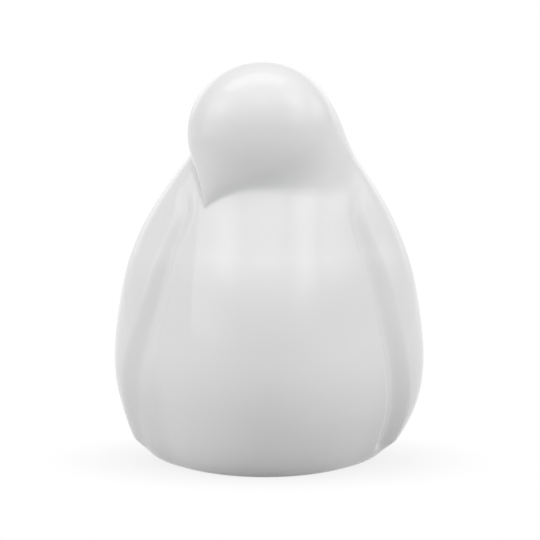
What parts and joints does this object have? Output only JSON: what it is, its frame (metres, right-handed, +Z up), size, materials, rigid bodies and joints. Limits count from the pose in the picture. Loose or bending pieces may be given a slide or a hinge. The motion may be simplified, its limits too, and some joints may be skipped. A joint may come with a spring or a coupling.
{
  "type": "bird figurine",
  "caption": "Plump standing bird figurine in glossy white glazed porcelain, head turned aside with the beak resting on the breast and folded wings in low relief.",
  "frame": {"origin": "centre of the foot, on the plane of the table", "axes": "+Z up, -Y the way the breast faces, +X to the bird's left"},
  "size_m": [0.076, 0.0921, 0.0987],
  "materials": {
    "glaze": "clear gloss glaze over white porcelain",
    "bisque": "matte unglazed porcelain",
    "felt": "pressed felt"
  },
  "bodies": {
    "root": {"body": "glaze", "head": "glaze", "left_wing": "glaze", "right_wing": "glaze", "tail": "glaze", "base": "bisque", "felt_pad": "felt"}
  },
  "joints": []
}
